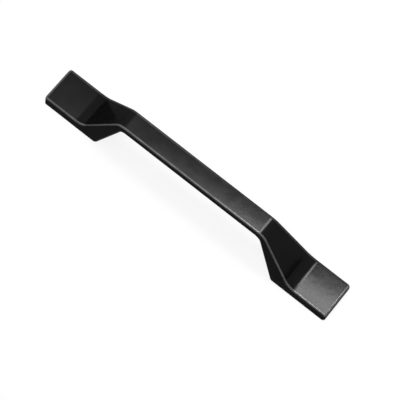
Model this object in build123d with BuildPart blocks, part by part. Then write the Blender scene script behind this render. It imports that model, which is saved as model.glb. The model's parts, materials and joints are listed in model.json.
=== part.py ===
from build123d import *
from math import isclose, radians, tan
import os

# A one-piece cast cabinet pull: two flat feet, two sloping legs and a raised grip bar.
# The origin is the middle of the mounting plane, +X runs along the grip and +Z out from the door.

# Driving dimensions, in millimetres and degrees
hole_spacing = 96.0  # between the two screw holes
hole_to_end = 23.0  # from a screw hole out to the end of its foot
hole_to_crease = 4.1  # from a screw hole out to where the foot's top meets the leg's slope
hole_to_gap = 4.3  # from a screw hole in to the edge of the finger gap
projection = 27.4  # from the door to the top of the grip
foot_thickness = 4.35
grip_thickness = 4.2
base_width = 17.5  # across the feet, on the door
grip_width = 8.7  # across the top of the grip, before its edges are rounded
slope_angle = 53.4  # between the door and a leg's upper face
gap_angle = 65.8  # between the door and a leg's inner face
crease_radius = 6.5  # hollow where a foot's top meets its slope
bend_radius = 5.0  # soft bend from a slope to the top of the grip
gap_corner_radius = 3.0  # hollow in the upper corners of the finger gap
foot_corner_radius = 1.2  # outer corners of the feet, seen from above
top_edge_radius = 1.0  # edge all round the upper faces
finger_edge_radius = 1.5  # edges of the finger gap
thread_diameter = 4.0  # at the root of the screw thread
thread_depth = 5.0
lead_in = 0.4  # chamfer at the mouth of a screw hole
drill_point_angle = 118.0

# Half of each span, measured from the middle of the pull
hole_x = hole_spacing / 2
end_x = hole_x + hole_to_end
crease_x = hole_x + hole_to_crease
bend_x = crease_x - (projection - foot_thickness) / tan(radians(slope_angle))
gap_base_x = hole_x - hole_to_gap
gap_height = projection - grip_thickness
gap_top_x = gap_base_x - gap_height / tan(radians(gap_angle))

# One screw hole
thread_radius = thread_diameter / 2
mouth_radius = thread_radius + lead_in
drill_tip = thread_depth + thread_radius / tan(radians(drill_point_angle / 2))

# Smaller than any feature, to tell level or square faces from leaning ones
flat = 1e-6


def corners_at(profile, half_span):
    """Give the two corners of the profile that lie this far to each side of the middle."""
    return profile.vertices().filter_by(lambda corner: isclose(abs(corner.X), half_span))


def square_faces(builder):
    """Give the faces that run straight across the pull, with no lean to either side."""
    return builder.faces().filter_by(lambda face: abs(face.normal_at().Y) < flat)


with BuildPart() as pull_handle:
    # Side view of the whole pull
    with BuildSketch(Plane.XZ) as side_view:
        right_half = [
            (bend_x, projection),
            (crease_x, foot_thickness),
            (end_x, foot_thickness),
            (end_x, 0),
            (gap_base_x, 0),
            (gap_top_x, gap_height),
        ]
        left_half = [(-x, z) for x, z in reversed(right_half)]
        with BuildLine():
            Polyline(*right_half, *left_half, close=True)
        make_face()
        fillet(corners_at(side_view, crease_x), crease_radius)
        fillet(corners_at(side_view, bend_x), bend_radius)
        fillet(corners_at(side_view, gap_top_x), gap_corner_radius)
    extrude(amount=base_width / 2, both=True)

    # End view: flat sides that lean in from the wide feet to the narrow grip
    with BuildSketch(Plane.YZ):
        with BuildLine():
            Polyline(
                (-base_width / 2, 0),
                (base_width / 2, 0),
                (grip_width / 2, projection),
                (-grip_width / 2, projection),
                close=True,
            )
        make_face()
    extrude(amount=end_x, both=True, mode=Mode.INTERSECT)

    # Outer corners of the feet
    end_faces = pull_handle.faces().filter_by(Axis.X)
    fillet(end_faces.edges().filter_by(Axis.Y, reverse=True), foot_corner_radius)

    # The edge all round the upper faces, over both feet, both slopes and the grip
    upper_faces = square_faces(pull_handle).filter_by(lambda face: face.normal_at().Z > flat)
    long_edges = upper_faces.edges().filter_by(Axis.Y, reverse=True)
    cross_edges = upper_faces.edges().filter_by(Axis.Y).sort_by(Axis.X)
    fillet(long_edges + [cross_edges.first, cross_edges.last], top_edge_radius)

    # The edges that fingers close on, up one leg, along the grip and down the other leg
    gap_faces = square_faces(pull_handle).filter_by(
        lambda face: face.normal_at().Z < -flat and face.center().Z > flat
    )
    fillet(gap_faces.edges().filter_by(Axis.Y, reverse=True), finger_edge_radius)

    # A blind screw hole up into each foot, with a lead-in and a drilled point
    for centre_x in (-hole_x, hole_x):
        hole_axis = Axis((centre_x, 0, 0), (0, 0, 1))
        with BuildSketch(Plane((centre_x, 0, 0), x_dir=(1, 0, 0), z_dir=(0, -1, 0))):
            with BuildLine():
                Polyline(
                    (0, 0),
                    (mouth_radius, 0),
                    (thread_radius, lead_in),
                    (thread_radius, thread_depth),
                    (0, drill_tip),
                    close=True,
                )
            make_face()
        revolve(axis=hole_axis, mode=Mode.SUBTRACT)

pull_handle.part.label = "pull_handle"

os.makedirs("parts", exist_ok=True)
export_step(pull_handle.part, "parts/pull_handle.step")
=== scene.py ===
"""Dresses a one-piece cast cabinet pull: satin black coating, screw threads and a plain studio."""

import json
import math

import bpy
from bpy.props import FloatProperty, FloatVectorProperty, IntProperty, PointerProperty
from mathutils import Matrix, Vector


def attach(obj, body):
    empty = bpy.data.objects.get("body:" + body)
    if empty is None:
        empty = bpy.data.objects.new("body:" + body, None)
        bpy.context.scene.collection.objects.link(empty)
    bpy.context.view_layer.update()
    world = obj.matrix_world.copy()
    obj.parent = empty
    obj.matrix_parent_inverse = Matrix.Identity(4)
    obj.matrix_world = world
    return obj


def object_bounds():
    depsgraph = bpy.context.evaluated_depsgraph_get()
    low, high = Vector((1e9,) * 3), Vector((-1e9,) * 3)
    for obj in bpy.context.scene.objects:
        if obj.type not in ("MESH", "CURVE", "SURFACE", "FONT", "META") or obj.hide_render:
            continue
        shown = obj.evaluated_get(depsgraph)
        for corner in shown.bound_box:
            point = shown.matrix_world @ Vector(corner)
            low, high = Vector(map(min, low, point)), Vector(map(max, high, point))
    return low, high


bl_info = {
    "name": "Cabinet Pull Finish",
    "version": (1, 0, 0),
    "blender": (4, 5, 0),
    "location": "3D View > Sidebar > Cabinet Pull",
    "description": "Coats a cast cabinet pull, threads its screw holes and sets up a plain studio",
    "category": "Object",
}

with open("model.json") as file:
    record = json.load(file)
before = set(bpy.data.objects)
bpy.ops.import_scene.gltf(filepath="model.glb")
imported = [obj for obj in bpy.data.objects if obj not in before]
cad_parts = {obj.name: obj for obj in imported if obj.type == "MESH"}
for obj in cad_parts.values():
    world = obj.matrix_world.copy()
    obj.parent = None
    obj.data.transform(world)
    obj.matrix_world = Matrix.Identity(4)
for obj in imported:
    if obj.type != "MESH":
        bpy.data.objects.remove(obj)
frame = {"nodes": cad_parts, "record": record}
cad_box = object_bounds()

MM = 0.001
MICRON = 0.000001
CASTING = "pull_handle"
BODY = "root"
WHITE = (1, 1, 1, 1)

# Most of a noise lies between these two levels
NOISE_LOW = 0.3
NOISE_HIGH = 0.7

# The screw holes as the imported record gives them
mounts = {mount["name"]: mount for mount in frame["record"]["mounts"]}
screw_holes = {
    "screw_thread_left": mounts["screw_hole_left"],
    "screw_thread_right": mounts["screw_hole_right"],
}
hole_radius = mounts["screw_hole_right"]["dims"]["r_mm"] * MM
hole_offset = mounts["screw_hole_right"]["pos_m"][0]


class CoatingSettings(bpy.types.PropertyGroup):
    """The satin black coating over the whole casting."""

    dark: FloatVectorProperty(
        name="Dark",
        description="Colour of the coating where it is thickest",
        subtype="COLOR",
        size=4,
        min=0,
        max=1,
        default=(0.0098, 0.0098, 0.0100, 1),
    )
    light: FloatVectorProperty(
        name="Light",
        description="Colour of the coating where it is thinnest",
        subtype="COLOR",
        size=4,
        min=0,
        max=1,
        default=(0.0114, 0.0114, 0.0116, 1),
    )
    # Pale edge colour: partly rubbed wear, partly a painted highlight that brightens the lines the
    # lamps draw along the rounded edges
    edge: FloatVectorProperty(
        name="Edge",
        description="Colour of the rounded edges, where hands have rubbed the coating",
        subtype="COLOR",
        size=4,
        min=0,
        max=1,
        default=(0.12, 0.12, 0.121, 1),
    )
    roughness: FloatProperty(
        name="Roughness",
        description="Roughness of the satin finish",
        subtype="FACTOR",
        min=0,
        max=1,
        default=0.15,
    )
    shine: FloatProperty(
        name="Shine",
        description="Share of the coating's light that is mirrored, not scattered",
        subtype="FACTOR",
        min=0,
        max=1,
        default=0.53,
    )
    glance: FloatVectorProperty(
        name="Glance",
        description="Share of the shine that is left at a glancing angle",
        subtype="COLOR",
        size=4,
        min=0,
        max=1,
        default=(0.50, 0.50, 0.50, 1),
    )
    crown: FloatProperty(
        name="Crown",
        description="How much the faces curve across their width, as one over the radius in metres",
        default=3.0,
    )
    cloud_width: FloatProperty(
        name="Cloud Width",
        description="Width of the slow changes in tone and gloss",
        subtype="DISTANCE",
        unit="LENGTH",
        default=9 * MM,
    )
    wear_width: FloatProperty(
        name="Wear Width",
        description="Length of the stretches in which an edge is rubbed more or less",
        subtype="DISTANCE",
        unit="LENGTH",
        default=2.4 * MM,
    )
    peel_width: FloatProperty(
        name="Peel Width",
        description="Width of the soft ripples that the coating dries with",
        subtype="DISTANCE",
        unit="LENGTH",
        default=3.0 * MM,
    )
    peel_height: FloatProperty(
        name="Peel Height",
        description="Height of the soft ripples that the coating dries with",
        subtype="DISTANCE",
        unit="LENGTH",
        default=14 * MICRON,
    )
    grain_width: FloatProperty(
        name="Grain Width",
        description="Width of the fine grain in the finish",
        subtype="DISTANCE",
        unit="LENGTH",
        default=0.8 * MM,
    )
    grain_height: FloatProperty(
        name="Grain Height",
        description="Height of the fine grain in the finish",
        subtype="DISTANCE",
        unit="LENGTH",
        default=3.5 * MICRON,
    )


class ThreadSettings(bpy.types.PropertyGroup):
    """The bare metal screw threads in the feet."""

    metal: FloatVectorProperty(
        name="Metal",
        description="Colour of the freshly cut zinc alloy",
        subtype="COLOR",
        size=4,
        min=0,
        max=1,
        default=(0.52, 0.53, 0.55, 1),
    )
    pitch: FloatProperty(
        name="Pitch",
        description="Distance from one turn of the thread to the next",
        subtype="DISTANCE",
        unit="LENGTH",
        default=0.7 * MM,
    )
    steps: IntProperty(
        name="Steps",
        description="Straight steps in one turn of the thread",
        min=12,
        default=56,
    )


class StudioSettings(bpy.types.PropertyGroup):
    """The floor and the camera."""

    floor: FloatVectorProperty(
        name="Floor",
        description="Colour of the floor",
        subtype="COLOR",
        size=4,
        min=0,
        max=1,
        default=(0.89, 0.89, 0.89, 1),
    )
    wash: FloatProperty(
        name="Wash",
        description="How far the floor is washed out to plain white",
        subtype="FACTOR",
        min=0,
        max=1,
        default=0.88,
    )
    azimuth: FloatProperty(
        name="Azimuth",
        description="How far the camera is turned to the right of the pull's front",
        subtype="ANGLE",
        unit="ROTATION",
        default=math.radians(31.83),
    )
    elevation: FloatProperty(
        name="Elevation",
        description="How far the camera looks down",
        subtype="ANGLE",
        unit="ROTATION",
        default=math.radians(73.06),
    )
    roll: FloatProperty(
        name="Roll",
        description="How far the camera is tipped about its own axis",
        subtype="ANGLE",
        unit="ROTATION",
        default=math.radians(7.23),
    )
    distance: FloatProperty(
        name="Distance",
        description="From the camera to the middle of the pull",
        subtype="DISTANCE",
        unit="LENGTH",
        default=0.5944,
    )
    lens: FloatProperty(
        name="Lens",
        description="Focal length for a sensor 36 mm wide",
        subtype="DISTANCE_CAMERA",
        default=135,
    )


# Material building blocks


def new_material(name):
    """Make a material with one plain shader and return it with its node tree and the shader."""
    material = bpy.data.materials.new(name)
    material.use_nodes = True
    tree = material.node_tree
    tree.nodes.clear()
    output = tree.nodes.new("ShaderNodeOutputMaterial")
    shader = tree.nodes.new("ShaderNodeBsdfPrincipled")
    tree.links.new(shader.outputs["BSDF"], output.inputs["Surface"])
    return material, tree, shader


def noise(tree, place, width, detail):
    """Give a noise of about this width, in metres."""
    node = tree.nodes.new("ShaderNodeTexNoise")
    node.inputs["Scale"].default_value = 1 / width
    node.inputs["Detail"].default_value = detail
    tree.links.new(place, node.inputs["Vector"])
    return node.outputs["Fac"]


def split(tree, vector):
    """Give the X, Y and Z of a vector."""
    node = tree.nodes.new("ShaderNodeSeparateXYZ")
    tree.links.new(vector, node.inputs["Vector"])
    return node.outputs["X"], node.outputs["Y"], node.outputs["Z"]


def math_node(tree, operation, first, second=None):
    """Combine two numbers, each a socket or a plain value, or change one."""
    node = tree.nodes.new("ShaderNodeMath")
    node.operation = operation
    for socket, value in zip(node.inputs, (first, second)):
        if isinstance(value, bpy.types.NodeSocket):
            tree.links.new(value, socket)
        elif value is not None:
            socket.default_value = value
    return node.outputs["Value"]


def remap(tree, value, low, high, to_low, to_high):
    """Stretch a number from one range to another, and stop at its ends."""
    node = tree.nodes.new("ShaderNodeMapRange")
    tree.links.new(value, node.inputs["Value"])
    for socket, number in zip(node.inputs[1:5], (low, high, to_low, to_high)):
        socket.default_value = number
    return node.outputs["Result"]


def mix_colours(tree, share, first, second):
    """Mix two colours, each a socket or a plain colour."""
    node = tree.nodes.new("ShaderNodeMix")
    node.data_type = "RGBA"
    tree.links.new(share, node.inputs["Factor"])
    for name, value in (("A", first), ("B", second)):
        socket = next(s for s in node.inputs if s.name == name and s.type == "RGBA")
        if isinstance(value, bpy.types.NodeSocket):
            tree.links.new(value, socket)
        else:
            socket.default_value = value
    return next(s for s in node.outputs if s.type == "RGBA")


def mix_shaders(tree, share, first, second):
    """Mix two shaders."""
    node = tree.nodes.new("ShaderNodeMixShader")
    for socket, value in zip(node.inputs, (share, first, second)):
        tree.links.new(value, socket)
    return node.outputs["Shader"]


def shade_relief(tree, shader, height):
    """Shade the surface as if it rose by this height, in metres."""
    bump = tree.nodes.new("ShaderNodeBump")
    bump.inputs["Distance"].default_value = 1
    tree.links.new(height, bump.inputs["Height"])
    tree.links.new(bump.outputs["Normal"], shader.inputs["Normal"])


def seen_directly(tree):
    """Give 1 where the camera, a mirror or a glass looks, and 0 where only scattered light goes."""
    path = tree.nodes.new("ShaderNodeLightPath")
    seen = math_node(tree, "MAXIMUM", path.outputs["Is Camera Ray"], path.outputs["Is Glossy Ray"])
    return math_node(tree, "MAXIMUM", seen, path.outputs["Is Transmission Ray"])


# The coating


def hole_mask(tree, spot):
    """Give 1 in the screw holes, whose threads are cut after coating, and 0 elsewhere."""
    lead_in = 0.42 * MM  # a hair more than the chamfer at the mouth
    bare_top = 6.3 * MM  # just above the drilled point
    x, y, z = spot
    along = math_node(tree, "SUBTRACT", math_node(tree, "ABSOLUTE", x), hole_offset)
    along_squared = math_node(tree, "MULTIPLY", along, along)
    across_squared = math_node(tree, "MULTIPLY", y, y)
    from_axis_squared = math_node(tree, "ADD", along_squared, across_squared)
    near = math_node(tree, "LESS_THAN", from_axis_squared, (hole_radius + lead_in) ** 2)
    low = math_node(tree, "LESS_THAN", z, bare_top)
    return math_node(tree, "MULTIPLY", near, low)


def rounded_band(tree, lean):
    """Give 1 along a rounded edge and 0 beside it, from how far the surface leans over."""
    flat, risen = 0.01, 0.16  # leans at which the band begins and is at its full strength
    fading, gone = 0.5, 0.9  # leans at which it starts to fade and has ended
    begins = remap(tree, lean, flat, risen, 0, 1)
    ends = remap(tree, lean, fading, gone, 1, 0)
    return math_node(tree, "MULTIPLY", begins, ends)


def rubbed_and_highlit_edges(tree, coating, place, spot, normal):
    """Give 1 along the upper edges, less along the back ones, and 0 elsewhere: partly rubbed wear,
    partly a painted highlight where the lamps catch the front edges.
    """
    end_reach = 1.5 * MM  # how far in from the end of a foot its end edge lies
    steep, gentle = 0.35, 0.62  # upward facings at which the paleness begins and is full
    sideways = 0.2  # facing at which an edge counts fully as a front or a back one
    back_share = 0.3  # how much of the paleness the back edges keep; the front edges get more because the painted highlight sits on them
    spared, rubbed = 0.35, 0.6  # levels of the noise at which an edge is rubbed least and most
    least_rubbed = 0.7
    along, across, upward = split(tree, normal)

    front = remap(tree, across, -sideways, sideways, 1, back_share)
    long_edges = rounded_band(tree, math_node(tree, "ABSOLUTE", across))
    long_edges = math_node(tree, "MULTIPLY", long_edges, front)

    from_middle = math_node(tree, "ABSOLUTE", spot[0])
    at_end = math_node(tree, "GREATER_THAN", from_middle, cad_box[1][0] - end_reach)
    end_edges = rounded_band(tree, math_node(tree, "ABSOLUTE", along))
    end_edges = math_node(tree, "MULTIPLY", end_edges, at_end)

    wear = noise(tree, place, coating.wear_width, detail=3)
    wear = remap(tree, wear, spared, rubbed, least_rubbed, 1)
    upper = remap(tree, upward, steep, gentle, 0, 1)
    wear = math_node(tree, "MULTIPLY", wear, upper)
    return math_node(tree, "MULTIPLY", math_node(tree, "MAXIMUM", long_edges, end_edges), wear)


def satin_black(coating, thread):
    """The coating: satin black with soft ripples, fine grain, edges paled by rubbed wear and by a
    painted highlight, and bare screw holes.
    """
    thick, thin = 0.35, 0.65  # levels of the clouds at which the coating is thickest and thinnest
    cloud_gloss = 0.025  # how far the clouds shift the roughness up and down
    grain_gloss = 0.015  # how far the grain shifts it
    edge_gloss = 0.03  # how much smoother the rubbed edges are
    material, tree, shader = new_material("satin_black_coating")
    coordinates = tree.nodes.new("ShaderNodeTexCoord")
    place = coordinates.outputs["Object"]
    spot = split(tree, place)
    clouds = noise(tree, place, coating.cloud_width, detail=3)
    peel = noise(tree, place, coating.peel_width, detail=1)
    grain = noise(tree, place, coating.grain_width, detail=2)
    edges = rubbed_and_highlit_edges(tree, coating, place, spot, coordinates.outputs["Normal"])
    bare = hole_mask(tree, spot)

    thinness = remap(tree, clouds, thick, thin, 0, 1)
    coat = mix_colours(tree, thinness, coating.dark[:], coating.light[:])
    # The edge colour is partly rubbed wear and partly a painted highlight along the rounded edges
    coat = mix_colours(tree, edges, coat, coating.edge[:])
    coat = mix_colours(tree, bare, coat, thread.metal[:])
    tree.links.new(coat, shader.inputs["Base Color"])
    shader.inputs["Metallic"].default_value = coating.shine
    shader.inputs["Specular IOR Level"].default_value = 0
    shader.inputs["Specular Tint"].default_value = coating.glance[:]

    smooth = coating.roughness - cloud_gloss
    rough = coating.roughness + cloud_gloss
    satin = remap(tree, clouds, NOISE_LOW, NOISE_HIGH, smooth, rough)
    grit = remap(tree, grain, NOISE_LOW, NOISE_HIGH, -grain_gloss, grain_gloss)
    satin = math_node(tree, "ADD", satin, grit)
    satin = math_node(tree, "SUBTRACT", satin, math_node(tree, "MULTIPLY", edges, edge_gloss))
    tree.links.new(satin, shader.inputs["Roughness"])

    ripples = math_node(tree, "MULTIPLY", peel, coating.peel_height)
    grains = math_node(tree, "MULTIPLY", grain, coating.grain_height)
    across_squared = math_node(tree, "MULTIPLY", spot[1], spot[1])
    fall = math_node(tree, "MULTIPLY", across_squared, coating.crown / 2)
    relief = math_node(tree, "SUBTRACT", math_node(tree, "ADD", ripples, grains), fall)
    shade_relief(tree, shader, relief)
    return material


class PULL_OT_coat_casting(bpy.types.Operator):
    """Give the casting its satin black coating"""

    bl_idname = "pull.coat_casting"
    bl_label = "Coat Casting"

    def execute(self, context):
        scene = context.scene
        casting = frame["nodes"][CASTING]
        casting.data.materials.clear()
        casting.data.materials.append(satin_black(scene.pull_coating, scene.pull_thread))
        return {"FINISHED"}


# Screw threads


def cut_zinc(thread):
    """The thread's bare metal: bright where the tap cut it, with fine lines along the turns."""
    line_width = 0.05 * MM
    line_height = 2 * MICRON
    line_scale = (0.25, 0.25, 1)  # draws the noise out round the hole into lines
    stain_width = 0.6 * MM
    clean, stained = 0.4, 0.7  # levels of the noise at which the metal is clean and fully stained
    stain_shade = 0.55  # share of the metal's colour that a stain leaves
    smooth, rough = 0.22, 0.42
    material, tree, shader = new_material("cut_zinc")
    place = tree.nodes.new("ShaderNodeTexCoord").outputs["Object"]
    drawn_out = tree.nodes.new("ShaderNodeMapping")
    drawn_out.inputs["Scale"].default_value = line_scale
    tree.links.new(place, drawn_out.inputs["Vector"])
    lines = noise(tree, drawn_out.outputs["Vector"], line_width, detail=2)
    stain = noise(tree, place, stain_width, detail=2)

    dull = [stain_shade * part for part in thread.metal[:3]] + [1]
    tint = mix_colours(tree, remap(tree, stain, clean, stained, 0, 1), thread.metal[:], dull)
    tree.links.new(tint, shader.inputs["Base Color"])
    shader.inputs["Metallic"].default_value = 1
    gloss = remap(tree, lines, NOISE_LOW, NOISE_HIGH, smooth, rough)
    tree.links.new(gloss, shader.inputs["Roughness"])
    shade_relief(tree, shader, math_node(tree, "MULTIPLY", lines, line_height))
    return material


def thread_section(pitch, wall_radius, growth):
    """Give one cross-section of the ridge as (radius, height) pairs, at this share of its depth."""
    sunk = 0.06 * MM  # how far the ridge reaches into the wall
    flank = math.tan(math.radians(30))  # lean of each side of a metric thread
    full_depth = 0.5413 * pitch  # depth of a metric thread
    full_crest_half = pitch / 8
    depth = full_depth * growth
    crest_half = full_crest_half + (full_depth - depth) * flank
    root_half = full_crest_half + (full_depth + sunk) * flank
    return [
        (wall_radius + sunk, -root_half),
        (wall_radius - depth, -crest_half),
        (wall_radius - depth, crest_half),
        (wall_radius + sunk, root_half),
    ]


def thread_ridge(name, hole, thread):
    """Wind a right-hand ridge up the wall of one screw hole and fade it out at both ends."""
    fade_turns = 0.35
    least_growth = 0.04  # share of the full depth at the very ends
    wall_radius = hole["dims"]["r_mm"] * MM
    length = hole["dims"]["length_mm"] * MM
    centre = Vector(hole["pos_m"])
    start = centre.z - length / 2 + thread.pitch / 2
    turns = (length - thread.pitch) / thread.pitch
    count = round(turns * thread.steps)

    points = []
    for step in range(count + 1):
        turn = step / thread.steps
        growth = max(least_growth, min(1, turn / fade_turns, (turns - turn) / fade_turns))
        angle = 2 * math.pi * turn
        for radius, height in thread_section(thread.pitch, wall_radius, growth):
            x = centre.x + radius * math.cos(angle)
            y = centre.y + radius * math.sin(angle)
            z = start + thread.pitch * turn + height
            points.append((x, y, z))

    # Each section has four corners: quads join it to the next, and a quad closes each end
    corners = 4
    faces = [(3, 2, 1, 0)]
    for step in range(count):
        here = corners * step
        there = here + corners
        for corner in range(corners):
            following = (corner + 1) % corners
            faces.append((here + corner, here + following, there + following, there + corner))
    last = corners * count
    faces.append((last, last + 1, last + 2, last + 3))

    mesh = bpy.data.meshes.new(name)
    mesh.from_pydata(points, [], faces)
    mesh.update()
    return bpy.data.objects.new(name, mesh)


class PULL_OT_cut_threads(bpy.types.Operator):
    """Cut a thread in each screw hole"""

    bl_idname = "pull.cut_threads"
    bl_label = "Cut Threads"

    def execute(self, context):
        scene = context.scene
        metal = cut_zinc(scene.pull_thread)
        for name, hole in screw_holes.items():
            ridge = thread_ridge(name, hole, scene.pull_thread)
            scene.collection.objects.link(ridge)
            ridge.data.materials.append(metal)
            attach(ridge, BODY)
        return {"FINISHED"}


# The studio


def camera_axes(studio):
    """Give the camera's right, up and back directions."""
    level = math.cos(studio.elevation)
    back = Vector(
        (
            math.sin(studio.azimuth) * level,
            -math.cos(studio.azimuth) * level,
            math.sin(studio.elevation),
        )
    )
    right = (-back).cross(Vector((0, 0, 1))).normalized()
    up = back.cross(right)
    tip = Matrix.Rotation(studio.roll, 3, back)
    return tip @ right, tip @ up, back


def add_camera(scene, studio):
    """Set the camera at the photograph's viewing angle and framing."""
    aim_right = 1.98 * MM  # from the middle of the pull to the middle of the picture
    aim_down = 2.54 * MM
    sensor_width = 36
    nearest = 0.01
    right, up, back = camera_axes(studio)
    place = right * aim_right - up * aim_down + back * studio.distance
    data = bpy.data.cameras.new("camera")
    data.lens = studio.lens
    data.sensor_width = sensor_width
    data.clip_start = nearest
    camera = bpy.data.objects.new("camera", data)
    turn = Matrix((right, up, back)).transposed()
    camera.matrix_world = Matrix.Translation(place) @ turn.to_4x4()
    scene.collection.objects.link(camera)
    scene.camera = camera


def pale_floor(studio, solid_radius, fade_radius):
    """The floor: matt and pale, washed out to white where it is seen, and clear at its rim."""
    matt = 0.9
    material, tree, shader = new_material("pale_floor")
    shader.inputs["Base Color"].default_value = studio.floor[:]
    shader.inputs["Roughness"].default_value = matt
    shader.inputs["Specular IOR Level"].default_value = 0
    white = tree.nodes.new("ShaderNodeEmission")
    white.inputs["Color"].default_value = WHITE
    white.inputs["Strength"].default_value = 1
    wash = math_node(tree, "MULTIPLY", seen_directly(tree), studio.wash)
    washed = mix_shaders(tree, wash, shader.outputs["BSDF"], white.outputs["Emission"])

    from_middle = tree.nodes.new("ShaderNodeVectorMath")
    from_middle.operation = "LENGTH"
    place = tree.nodes.new("ShaderNodeTexCoord").outputs["Object"]
    tree.links.new(place, from_middle.inputs[0])
    cover = remap(tree, from_middle.outputs["Value"], solid_radius, fade_radius, 1, 0)
    clear = tree.nodes.new("ShaderNodeBsdfTransparent")
    surface = mix_shaders(tree, cover, clear.outputs["BSDF"], washed)
    output = next(node for node in tree.nodes if node.type == "OUTPUT_MATERIAL")
    tree.links.new(surface, output.inputs["Surface"])
    return material


def add_floor(scene, studio):
    """Lay a round pale floor whose rim fades into the white around it."""
    solid_radius = 0.16
    fade_radius = 0.36
    sides = 64
    angles = [2 * math.pi * side / sides for side in range(sides)]
    rim = [(fade_radius * math.cos(angle), fade_radius * math.sin(angle), 0) for angle in angles]
    mesh = bpy.data.meshes.new("floor")
    mesh.from_pydata(rim, [], [tuple(range(sides))])
    floor = bpy.data.objects.new("floor", mesh)
    scene.collection.objects.link(floor)
    floor.data.materials.append(pale_floor(studio, solid_radius, fade_radius))


def add_world(scene):
    """Surround the pull with plain white that lights it only a little."""
    fill_strength = 0.05
    world = bpy.data.worlds.new("studio")
    world.use_nodes = True
    tree = world.node_tree
    tree.nodes.clear()
    output = tree.nodes.new("ShaderNodeOutputWorld")
    white = tree.nodes.new("ShaderNodeBackground")
    white.inputs["Color"].default_value = WHITE
    strength = remap(tree, seen_directly(tree), 0, 1, fill_strength, 1)
    tree.links.new(strength, white.inputs["Strength"])
    tree.links.new(white.outputs["Background"], output.inputs["Surface"])
    scene.world = world


# Each softbox faces the pull. Its turn is about its own axis,
# and its fade is the share of it that dims towards the rim.
softboxes = {
    "softbox_strip": {
        "place": Vector((0.005, 0.147, 0.73)),
        "width": 0.461,
        "depth": 0.112,
        "turn": math.radians(12.8),
        "radiance": 48,
        "fade": 0.75,
    },
    "softbox_right": {
        "place": Vector((0.116, 0.21, 0.73)),
        "width": 0.225,
        "depth": 0.118,
        "turn": 0,
        "radiance": 40,
        "fade": 0.89,
    },
    "softbox_wide": {
        "place": Vector((-0.14, 0.077, 0.73)),
        "width": 0.57,
        "depth": 0.412,
        "turn": math.radians(5.8),
        "radiance": 4.8,
        "fade": 0.9,
    },
    "softbox_edge": {
        "place": Vector((-0.01, -0.06, 0.73)),
        "width": 0.18,
        "depth": 0.16,
        "turn": 0,
        "radiance": 34,
        "fade": 0.9,
    },
    "softbox_front": {
        "place": Vector((0, -0.25, 0.68)),
        "width": 0.5,
        "depth": 0.3,
        "turn": 0,
        "radiance": 4,
        "fade": 0.7,
    },
    "softbox_back": {
        "place": Vector((-0.2, 0.5, 0.6)),
        "width": 0.2,
        "depth": 0.24,
        "turn": 0,
        "radiance": 6.5,
        "fade": 0.4,
    },
}


def add_softbox(scene, name, place, width, depth, turn, radiance, fade):
    """Hang an oval softbox that faces the pull and fades towards its rim."""
    middle = (0.5, 0.5, 0)  # in the softbox's own coordinates, which run from 0 to 1
    rim = 0.5  # how far the rim is from the middle
    area = math.pi * width * depth / 4
    data = bpy.data.lights.new(name, "AREA")
    data.shape = "ELLIPSE"
    data.size = width
    data.size_y = depth
    data.energy = radiance * math.pi * area
    data.use_nodes = True
    tree = data.node_tree
    glow = tree.nodes["Emission"]
    spot = tree.nodes.new("ShaderNodeNewGeometry").outputs["Parametric"]
    from_middle = tree.nodes.new("ShaderNodeVectorMath")
    from_middle.operation = "DISTANCE"
    tree.links.new(spot, from_middle.inputs[0])
    from_middle.inputs[1].default_value = middle
    dimmed = remap(tree, from_middle.outputs["Value"], rim, rim * (1 - fade), 0, 1)
    tree.links.new(dimmed, glow.inputs["Strength"])

    back = place.normalized()
    side = Matrix.Rotation(turn, 3, back) @ Vector((0, 1, 0)).cross(back).normalized()
    facing = Matrix((side, back.cross(side), back)).transposed()
    lamp = bpy.data.objects.new(name, data)
    lamp.matrix_world = Matrix.Translation(place) @ facing.to_4x4()
    lamp.visible_camera = False
    scene.collection.objects.link(lamp)


class PULL_OT_set_stage(bpy.types.Operator):
    """Lay the floor, hang the softboxes and set the camera"""

    bl_idname = "pull.set_stage"
    bl_label = "Set Stage"

    def execute(self, context):
        scene = context.scene
        add_floor(scene, scene.pull_studio)
        add_world(scene)
        for name, placing in softboxes.items():
            add_softbox(scene, name, **placing)
        add_camera(scene, scene.pull_studio)
        scene.view_settings.view_transform = "Standard"
        return {"FINISHED"}


class PULL_PT_finish(bpy.types.Panel):
    """Lists the steps that dress the pull"""

    bl_idname = "PULL_PT_finish"
    bl_label = "Cabinet Pull"
    bl_space_type = "VIEW_3D"
    bl_region_type = "UI"
    bl_category = "Cabinet Pull"

    def draw(self, context):
        for operator in operators:
            self.layout.operator(operator.bl_idname)


settings = {
    "pull_coating": CoatingSettings,
    "pull_thread": ThreadSettings,
    "pull_studio": StudioSettings,
}
operators = (PULL_OT_coat_casting, PULL_OT_cut_threads, PULL_OT_set_stage)


def register():
    """Add the settings, the operators and the panel to Blender."""
    for kind in (*settings.values(), *operators, PULL_PT_finish):
        bpy.utils.register_class(kind)
    for name, kind in settings.items():
        setattr(bpy.types.Scene, name, PointerProperty(type=kind))


def unregister():
    """Take the settings, the operators and the panel away again."""
    for name in settings:
        delattr(bpy.types.Scene, name)
    for kind in (PULL_PT_finish, *reversed(operators), *reversed(settings.values())):
        bpy.utils.unregister_class(kind)


def main():
    """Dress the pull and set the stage."""
    register()
    bpy.ops.pull.coat_casting()
    bpy.ops.pull.cut_threads()
    bpy.ops.pull.set_stage()


if __name__ == "__main__":
    main()
